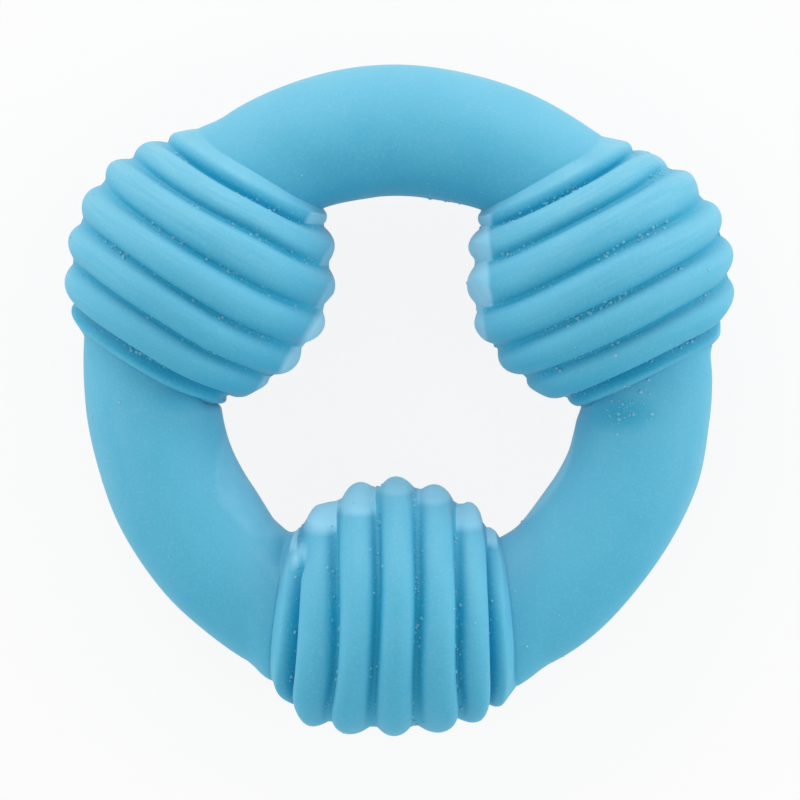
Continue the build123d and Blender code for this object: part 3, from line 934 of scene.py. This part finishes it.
def plastic_material(name, tint, roughness, ior, flow_mm, soft):
    """A small plastic piece: even and satin, with faint flow marks and a fine orange peel."""
    material = bpy.data.materials.new(name)
    add = shader_nodes(material)
    place = add("ShaderNodeTexCoord", out="Object")
    flow = add(NOISE, {"Vector": place, "Scale": 1 / (flow_mm * MM), "Detail": 2.0, "Distortion": 1.5})
    peel = add(NOISE, {"Vector": place, "Scale": 1 / PLASTIC_PEEL_SIZE, "Detail": 2.0})
    shade = add(RANGE, {0: flow, 1: 0.3, 2: 0.7, 3: 0.0, 4: 0.35})
    darker = tuple(c * 0.8 for c in tint)
    body = add(MIX, {0: shade, 6: (*tint, 1), 7: (*darker, 1)}, out=2, data_type="RGBA")
    rough = add(RANGE, {0: flow, 1: 0.3, 2: 0.7, 3: roughness - 0.05, 4: roughness + 0.06})
    bump = add(BUMP, {"Height": peel, "Distance": PLASTIC_PEEL_HEIGHT, "Strength": 1.0})
    shader = add("ShaderNodeBsdfPrincipled", {
        "Base Color": body, "Roughness": rough, "IOR": ior, "Normal": bump,
        "Subsurface Weight": soft, "Subsurface Scale": 1.0 * MM,
    })
    add("ShaderNodeOutputMaterial", {"Surface": shader}, out=None)
    return material


def paper_material(tint):
    """Studio paper: matt and even, and nearly white to the camera, with the object's shadow kept."""
    material = bpy.data.materials.new("studio paper, matt")
    add = shader_nodes(material)
    path = add("ShaderNodeLightPath", out=None)
    seen = add(MATH, {0: path["Is Camera Ray"], 1: path["Is Glossy Ray"]}, operation="MAXIMUM")
    seen = add(MATH, {0: seen, 1: path["Is Transmission Ray"]}, operation="MAXIMUM")
    lift = add(MATH, {0: seen, 1: FLOOR_LIFT}, operation="MULTIPLY")
    diffuse = add("ShaderNodeBsdfDiffuse", {"Color": (*tint, 1)})
    glow = add("ShaderNodeEmission", {"Color": (1, 1, 1, 1), "Strength": 1.0})
    both = add("ShaderNodeMixShader", {0: lift, 1: diffuse, 2: glow})
    add("ShaderNodeOutputMaterial", {"Surface": both}, out=None)
    return material


def light_tent():
    """A white tent, brightest low at its sides and towards +Y, and plain white to the camera."""
    world = bpy.data.worlds.new("studio")
    add = shader_nodes(world)
    path = add("ShaderNodeLightPath", out=None)
    seen = add(MATH, {0: path["Is Camera Ray"], 1: path["Is Transmission Ray"]}, operation="MAXIMUM")
    towards = add("ShaderNodeSeparateXYZ", {0: add("ShaderNodeTexCoord", out="Generated")}, out=None)
    walls = add(RANGE, {0: towards["Z"], 1: 0.25, 2: 0.95, 3: 1.38, 4: 0.525})
    bright = add(RANGE, {0: towards["Y"], 1: -1.0, 2: 1.0, 3: 0.83, 4: 1.165})
    sideways = add(MATH, {0: towards["X"], 1: 2.0}, operation="POWER")
    sides = add(RANGE, {0: sideways, 1: 0.0, 2: 1.0, 3: 0.86, 4: 1.3})
    tent = add(MATH, {0: walls, 1: bright}, operation="MULTIPLY")
    tent = add(MATH, {0: tent, 1: sides}, operation="MULTIPLY")
    strength = add(RANGE, {0: seen, 3: tent, 4: 1.0})
    sky = add("ShaderNodeBackground", {"Color": (1, 1, 1, 1), "Strength": strength})
    add("ShaderNodeOutputWorld", {"Surface": sky}, out=None)
    return world


def close_port(mesh, loops):
    """Bridges the two loops inside the port, drops the loose points and turns the faces outward."""
    work = bmesh.new()
    work.from_mesh(mesh)
    work.verts.ensure_lookup_table()
    edges = [
        work.edges.get((work.verts[start], work.verts[end]))
        for loop in loops
        for start, end in zip(loop, loop[1:] + loop[:1])
    ]
    bmesh.ops.bridge_loops(work, edges=edges)
    bmesh.ops.delete(work, geom=[vert for vert in work.verts if not vert.link_faces], context="VERTS")
    bmesh.ops.recalc_face_normals(work, faces=work.faces)
    work.to_mesh(mesh)
    open_edges = sum(1 for edge in work.edges if len(edge.link_faces) != 2)
    work.free()
    if open_edges:
        raise RuntimeError(f"the latex skin has {open_edges} open edges")


def dress(name, material):
    """Puts one material on a carried-over solid."""
    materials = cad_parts[name].data.materials
    materials.clear()
    materials.append(material)


class CHEWRING_OT_cast_skin(bpy.types.Operator):
    """Cast the hollow latex skin: smooth tube, ribbed barrels, squeaker port and cavity in one piece"""

    bl_idname = "chewring.cast_skin"
    bl_label = "Cast latex skin"

    def execute(self, context):
        form = context.scene.chew_ring_form
        runs = rib_runs(form)
        facing = smooth_step(0.25, 0.85, np.abs(np.sin(turns(ROUND_STEPS))))
        points, faces, outer, loops = skin_blank(form, runs, facing)
        count, stations, past = len(outer) * ROUND_STEPS, len(outer), len(runs)
        half_rows = stations // len(BARRELS) // 2 + 1
        outside = np.arange(len(points)) < count

        def over_all(values):
            return np.concatenate([values, np.zeros((len(points) - count, *values.shape[1:]))])

        # Ribs, pressed into the crowned barrels
        station_runs = per_station(np.concatenate([runs, np.full(half_rows - past, runs[-1])]))
        run_values = over_all(np.repeat(station_runs, ROUND_STEPS))
        deepened, shallowed = (
            per_barrel([barrel[name] for barrel in BARRELS], stations)[:, None]
            for name in ("deepened", "shallowed")
        )
        press = marked(half_rows, 0, past)[:, None] * (1 + deepened * facing - shallowed * (1 - facing))
        press_values = over_all(press.ravel())
        blank = bpy.data.meshes.new("crowned ring")
        blank.from_pydata(points.tolist(), [], faces)
        pressing = {
            "crown_run": run_values,
            "pressed": press_values,
            "facing": over_all(np.tile(facing, stations)),
            "inward": over_all(inward_directions(form, station_runs).reshape(-1, 3)),
        }
        for name, values in pressing.items():
            write_values(blank, name, values)
        mesh = run_tree(context, blank, rib_tree(), {
            "Rib pitch": form.rib_pitch,
            "Rib fullness": form.rib_fullness,
            "Groove width": form.groove_width,
            "Groove depth": form.groove_depth,
            "Groove floor": form.groove_floor,
            "Groove floor, sides": form.groove_shallow,
            "Groove rounding": form.groove_round,
            "Last groove": form.rib_count * form.rib_pitch / 2,
            "Last groove deeper": form.collar_groove,
            "Collar pitch": form.collar_pitch,
            "Collar drop": form.collar_drop,
            "Material": latex_material(context.scene.chew_ring_colours),
        })
        for name in pressing:
            mesh.attributes.remove(mesh.attributes[name])

        # Irregularities of this casting, its proud spots, its smears and its ground seam
        cast = read_values(mesh.vertices, "co", 3)
        groove = read_values(mesh.attributes["groove"].data, "value")
        rows, open_side = shape_collars(cast[:count].reshape(outer.shape), form, past, facing)
        cast[:count] = rows.reshape(-1, 3)
        cast = as_cast(cast, form)
        for place, reach, rise in PROUD:
            share = outside * spot(cast, place, reach)
            cast[:, :2] -= (share * rise * MM / off_axis(cast))[:, None] * cast[:, :2]
        rows = cast[:count].reshape(outer.shape)
        paled = np.zeros(len(cast))
        for place, reach, pale in SMEARS:
            smear = spot(rows, place, reach)
            paled[:count] += pale * smear.ravel()
            rows = smoothed(rows, 0.5 * smear[..., None], SMEAR_PASSES)
        cast[:count] = rows.reshape(-1, 3)
        cast, trimmed = ground_seam(cast, run_values, press_values, outside, form)
        mesh.vertices.foreach_set("co", cast.astype(np.float32).ravel())

        # Where pimples stand, and where deeper colour, painted shade and painted light lie
        write_values(mesh, "pimple", pimple_places(cast, groove, outside, form))
        write_values(mesh, "trimmed", np.maximum(trimmed, paled - 0.15))
        # Painted shade up the collar's flank beside each open end, carried in the groove attribute
        first, last = FLANK_ROWS
        flank = marked(half_rows, past + first, past + last, FLANK_PAINTED_SHADE) * open_side
        groove = np.maximum(groove, over_all(np.repeat(flank, ROUND_STEPS)))
        # Crests: a little pale dust everywhere, and painted light that grows towards +Y, where the key lamp
        # stands
        ribbed = over_all(np.repeat(marked(half_rows, 0, past + CREASE_ROW), ROUND_STEPS))
        lighter_towards_plus_y = 0.1 + 0.8 * smooth_step(2 * MM, 40 * MM, cast[:, 1])
        crest = ribbed * lighter_towards_plus_y * (1 - smooth_step(0.0, 0.4, groove))
        # Painted shade and painted light beside the collars: pool is how much painted shade, dust how much
        # painted light
        for place, reach, pool, dust in PAINTED_SHADE_AND_LIGHT:
            painted_spot = (outside & (press_values == 0)) * spot(cast, place, reach)
            groove = np.maximum(groove, pool * painted_spot)
            crest = np.maximum(crest, dust * painted_spot)
        write_values(mesh, "groove", groove)
        write_values(mesh, "crest", crest)
        lay = np.zeros((stations, ROUND_STEPS, 3))
        lay[..., 0] = (station_sides(stations) * station_runs)[:, None]
        lay[..., 1] = turns(ROUND_STEPS) * form.barrel_radius
        lay[..., 2] = 7.0 * per_barrel(np.arange(len(BARRELS)), stations)[:, None]
        write_values(mesh, "rib_lay", over_all(lay.reshape(-1, 3)))

        close_port(mesh, loops)
        mesh.name = "latex_skin_cast"
        mesh.shade_smooth()
        # How far each point faces +Y, towards the key lamp, for painted light on that side and painted shade
        # on the other
        write_values(mesh, "facing_plus_y", read_values(mesh.vertex_normals, "vector", 3)[:, 1])
        skin = show(context, "latex_skin_cast", mesh)
        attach(skin, "toy")
        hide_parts("latex_skin")
        return {"FINISHED"}


class CHEWRING_OT_raise_pimples(bpy.types.Operator):
    """Raise the small pimples that air holes in the plaster mould left, most of them in the grooves"""

    bl_idname = "chewring.raise_pimples"
    bl_label = "Raise pimples"

    def execute(self, context):
        sizes = context.scene.chew_ring_pimples
        skin = bpy.data.objects["latex_skin_cast"].data
        mesh = run_tree(context, skin.copy(), pimple_tree(), {
            "Radius": sizes.radius,
            "Density": sizes.density,
            "Seed": sizes.seed,
            "Material": skin.materials[0],
        })
        mesh.name = "latex_pimples"
        pimples = show(context, "latex_pimples", mesh)
        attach(pimples, "toy")
        return {"FINISHED"}


class CHEWRING_OT_finish_squeaker(bpy.types.Operator):
    """Give the squeaker bush its waxy natural polyethylene"""

    bl_idname = "chewring.finish_squeaker"
    bl_label = "Finish squeaker bush"

    def execute(self, context):
        tint = tuple(context.scene.chew_ring_colours.bush)
        # Natural polyethylene lets some light in, so it looks waxy and soft
        dress("squeaker_body", plastic_material(
            "natural polyethylene, injection moulded", tint, roughness=0.42, ior=1.51, flow_mm=2.5, soft=0.2
        ))
        return {"FINISHED"}


class CHEWRING_OT_finish_reed_set(bpy.types.Operator):
    """Give the reed's trough and wedge satin polystyrene, and the reed its polyester film"""

    bl_idname = "chewring.finish_reed_set"
    bl_label = "Finish reed set"

    def execute(self, context):
        colours = context.scene.chew_ring_colours
        # Moulded polystyrene is hard and satin, and rolled film is the glossiest of the three
        holder = plastic_material(
            "polystyrene, injection moulded", tuple(colours.holder),
            roughness=0.35, ior=1.59, flow_mm=1.2, soft=0.0,
        )
        film = plastic_material(
            "polyester film, rolled", tuple(colours.film), roughness=0.2, ior=1.64, flow_mm=0.8, soft=0.0
        )
        for name, made in (("reed_trough", holder), ("reed_wedge", holder), ("reed", film)):
            dress(name, made)
        return {"FINISHED"}


class CHEWRING_OT_set_stage(bpy.types.Operator):
    """Set the pale floor, the soft studio lamps and the camera over the ring"""

    bl_idname = "chewring.set_stage"
    bl_label = "Set stage"

    def execute(self, context):
        scene = context.scene
        floor_mesh = bpy.data.meshes.new("floor")
        work = bmesh.new()
        bmesh.ops.create_circle(work, cap_ends=True, segments=96, radius=FLOOR_RADIUS)
        bmesh.ops.translate(work, verts=work.verts, vec=(0, 0, SKIN_BOX[0].z))
        work.to_mesh(floor_mesh)
        work.free()
        floor_mesh.materials.append(paper_material(scene.chew_ring_colours.floor))
        floor = show(context, "floor", floor_mesh)
        scene.world = light_tent()
        for name, place, size, power in LAMPS:
            lamp = bpy.data.lights.new(name, "AREA")
            lamp.shape = "DISK"
            lamp.size = size
            lamp.energy = power
            holder = show(context, name, lamp)
            holder.location = place
            holder.rotation_euler = (-Vector(place)).to_track_quat("-Z", "Y").to_euler()

        lens = bpy.data.cameras.new("camera")
        camera = show(context, "camera", lens)
        back = Vector((math.tan(CAMERA_LEAN_X), math.tan(CAMERA_LEAN_Y), 1)).normalized()
        camera.location = CAMERA_TARGET + back * CAMERA_DISTANCE
        right = Vector((0, 1, 0)).cross(back).normalized()
        camera.rotation_euler = Matrix((right, back.cross(right), back)).transposed().to_euler()
        lens.sensor_width = 36.0
        lens.lens = lens.sensor_width * CAMERA_DISTANCE / VIEW_WIDTH
        lens.clip_start = 0.01
        lens.clip_end = 20.0
        scene.camera = camera
        scene.view_settings.view_transform = "Standard"
        return {"FINISHED"}


class CHEWRING_PT_parts(bpy.types.Panel):
    """Lists the chew ring's pieces and sizes in the sidebar"""

    bl_idname = "CHEWRING_PT_parts"
    bl_label = "Chew ring"
    bl_space_type = "VIEW_3D"
    bl_region_type = "UI"
    bl_category = "Chew ring"

    def draw(self, context):
        scene = context.scene
        for operator in OPERATORS:
            self.layout.operator(operator.bl_idname)
        for group in (scene.chew_ring_form, scene.chew_ring_pimples, scene.chew_ring_colours):
            for name in group.__annotations__:
                self.layout.prop(group, name)


OPERATORS = (
    CHEWRING_OT_cast_skin,
    CHEWRING_OT_raise_pimples,
    CHEWRING_OT_finish_squeaker,
    CHEWRING_OT_finish_reed_set,
    CHEWRING_OT_set_stage,
)
CLASSES = (ChewRingForm, ChewRingPimples, ChewRingColours, *OPERATORS, CHEWRING_PT_parts)


def register():
    for made in CLASSES:
        bpy.utils.register_class(made)
    bpy.types.Scene.chew_ring_form = PointerProperty(type=ChewRingForm)
    bpy.types.Scene.chew_ring_pimples = PointerProperty(type=ChewRingPimples)
    bpy.types.Scene.chew_ring_colours = PointerProperty(type=ChewRingColours)


def unregister():
    del bpy.types.Scene.chew_ring_colours
    del bpy.types.Scene.chew_ring_pimples
    del bpy.types.Scene.chew_ring_form
    for made in reversed(CLASSES):
        bpy.utils.unregister_class(made)


def main():
    register()
    bpy.ops.chewring.cast_skin()
    bpy.ops.chewring.raise_pimples()
    bpy.ops.chewring.finish_squeaker()
    bpy.ops.chewring.finish_reed_set()
    bpy.ops.chewring.set_stage()


if __name__ == "__main__":
    main()
